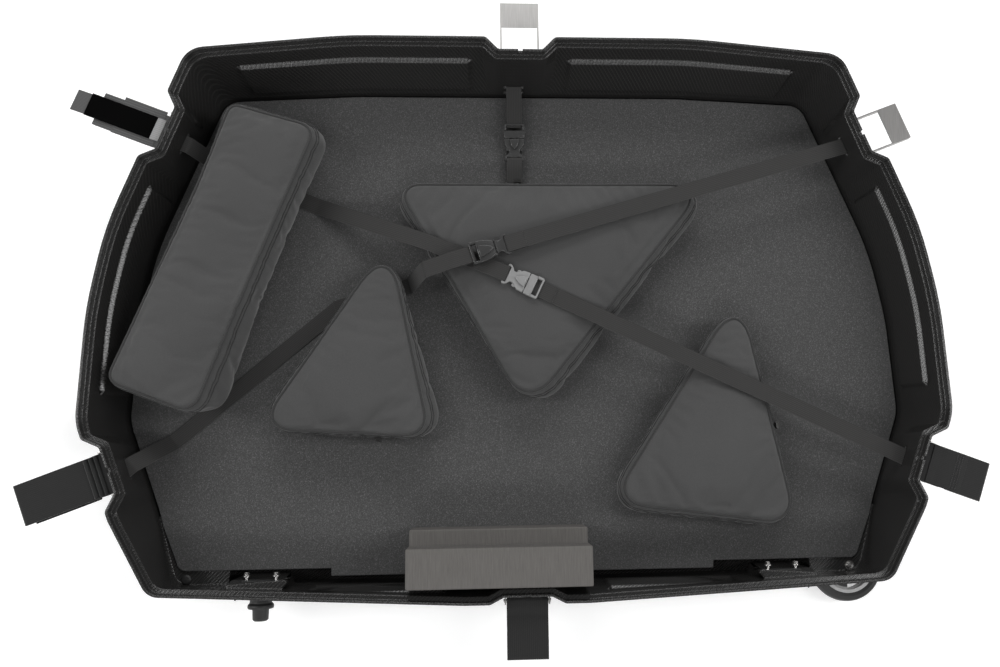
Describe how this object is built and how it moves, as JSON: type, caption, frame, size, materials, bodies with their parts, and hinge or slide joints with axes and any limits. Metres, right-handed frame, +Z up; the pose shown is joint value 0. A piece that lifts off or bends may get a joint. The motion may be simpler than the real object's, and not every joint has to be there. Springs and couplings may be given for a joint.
{
  "type": "bike travel case",
  "caption": "Open packing half of a hard bicycle travel case: a notched, panelled tray with foam floor, padded bags, crossing buckled straps, rim closures, a wheel and a foot.",
  "frame": {"origin": "centre of the flat outside of the tray on which it lies", "axes": "+X along the case to the wheel end, +Y to the carrying side, +Z up out of the tray"},
  "size_m": [1.4431, 1.0041, 0.16],
  "materials": {
    "shell": "glossy thermoformed sheet with a twill print",
    "floor_foam": "closed cell foam, speckled",
    "block_foam": "sawn foam",
    "webbing": "ribbed webbing",
    "closure_webbing": "wide woven webbing",
    "hook_fabric": "hook pile",
    "bag_fabric": "woven pack cloth",
    "buckle_plastic": "moulded satin",
    "zip_metal": "black lacquer",
    "steel": "brushed stainless",
    "tyre": "moulded rubber",
    "hub": "moulded",
    "foot": "moulded rubber",
    "zinc": "bright zinc"
  },
  "bodies": {
    "case": {"axle_bolt": "zinc", "axle_nut": "zinc", "axle_spacer": "zinc", "axle_washer": "zinc", "blank_plate": "foot", "bracket_bottom": "steel", "bracket_lower_left": "steel", "bracket_lower_right": "steel", "bracket_rivets": "steel", "bracket_top": "steel", "bracket_upper_left": "steel", "bracket_upper_right": "steel", "buckle_a_socket": "buckle_plastic", "buckle_b_socket": "buckle_plastic", "buckle_top_socket": "buckle_plastic", "chainring_block": "block_foam", "floor_pad": "floor_foam", "foot": "foot", "fork_bag": "bag_fabric", "frame_bag": "bag_fabric", "pin_bottom": "steel", "pin_lower_left": "steel", "pin_lower_right": "steel", "pin_top": "steel", "pin_upper_left": "steel", "pin_upper_right": "steel", "pocket_bolts": "zinc", "pocket_nuts": "zinc", "relief_plug": "foot", "shell": "shell", "strap_a_socket": "webbing", "strap_b_socket": "webbing", "strap_top_socket": "webbing"},
    "wheel": {"wheel_tyre": "tyre", "wheel_hub": "hub", "wheel_bearing": "zinc"},
    "bail_top": {"bail_top": "steel"},
    "bail_upper_right": {"bail_upper_right": "steel"},
    "closure_lower_left": {"closure_strap_lower_left": "closure_webbing"},
    "closure_lower_right": {"closure_strap_lower_right": "closure_webbing"},
    "closure_bottom": {"closure_strap_bottom": "closure_webbing"},
    "closure_upper_left": {"closure_strap_upper_left": "closure_webbing", "hook_band_upper_left": "hook_fabric"},
    "cross_strap_a": {"strap_a_plug": "webbing", "buckle_a_plug": "buckle_plastic"},
    "cross_strap_b": {"strap_b_plug": "webbing", "buckle_b_plug": "buckle_plastic"},
    "top_strap": {"strap_top_plug": "webbing", "buckle_top_plug": "buckle_plastic"},
    "long_bag": {"long_bag": "bag_fabric"},
    "rear_bag": {"rear_bag": "bag_fabric"},
    "rear_zip": {"rear_bag_slider": "zip_metal"},
    "frame_zip": {"frame_bag_slider": "zip_metal"},
    "fork_zip": {"fork_bag_slider": "zip_metal"}
  },
  "joints": [
    {"name": "wheel_spin", "type": "hinge", "parent": "case", "child": "wheel", "pos_m": [0.514, -0.395, 0.018], "axis": [0, 0, 1], "continuous": true},
    {"name": "bail_top_swing", "type": "hinge", "parent": "case", "child": "bail_top", "pos_m": [0, 0.41104, 0.11812], "axis": [1, 0, 0], "range_deg": [-80, 90]},
    {"name": "bail_upper_right_swing", "type": "hinge", "parent": "case", "child": "bail_upper_right", "pos_m": [0.5386, 0.27761, 0.12005], "axis": [0.3603, -0.9328, 0], "range_deg": [-80, 90]},
    {"name": "closure_lower_left_swing", "type": "hinge", "parent": "case", "child": "closure_lower_left", "pos_m": [-0.60083, -0.23206, 0.12109], "axis": [-0.3482, 0.9374, 0], "range_deg": [-55, 90]},
    {"name": "closure_lower_right_swing", "type": "hinge", "parent": "case", "child": "closure_lower_right", "pos_m": [0.60083, -0.23206, 0.12109], "axis": [-0.3482, -0.9374, 0], "range_deg": [-70, 90]},
    {"name": "closure_bottom_swing", "type": "hinge", "parent": "case", "child": "closure_bottom", "pos_m": [0, -0.42444, 0.12116], "axis": [-1, 0, 0], "range_deg": [-70, 90]},
    {"name": "closure_upper_left_swing", "type": "hinge", "parent": "case", "child": "closure_upper_left", "pos_m": [-0.5386, 0.27761, 0.12005], "axis": [0.3603, 0.9328, 0], "range_deg": [-45, 90]},
    {"name": "buckle_a_release", "type": "slide", "parent": "case", "child": "cross_strap_a", "axis": [0.9547, 0.2932, -0.0513], "range_m": [0, 0.03]},
    {"name": "buckle_b_release", "type": "slide", "parent": "case", "child": "cross_strap_b", "axis": [0.905, -0.4244, -0.0279], "range_m": [0, 0.03]},
    {"name": "buckle_top_release", "type": "slide", "parent": "case", "child": "top_strap", "axis": [0, 0.9965, 0.0834], "range_m": [0, 0.03]},
    {"name": "long_bag_lift", "type": "slide", "parent": "case", "child": "long_bag", "axis": [0, 0, 1], "range_m": [0, 0.25]},
    {"name": "rear_bag_lift", "type": "slide", "parent": "case", "child": "rear_bag", "axis": [0, 0, 1], "range_m": [0, 0.25]},
    {"name": "rear_zip_run", "type": "slide", "parent": "rear_bag", "child": "rear_zip", "axis": [-0.9978, 0.0655, 0], "range_m": [-0.04, 0.11]},
    {"name": "frame_zip_run", "type": "slide", "parent": "case", "child": "frame_zip", "axis": [1, 0, 0], "range_m": [-0.12, 0.2]},
    {"name": "fork_zip_run", "type": "slide", "parent": "case", "child": "fork_zip", "axis": [0.1921, -0.9814, 0], "range_m": [-0.12, 0.1]}
  ]
}
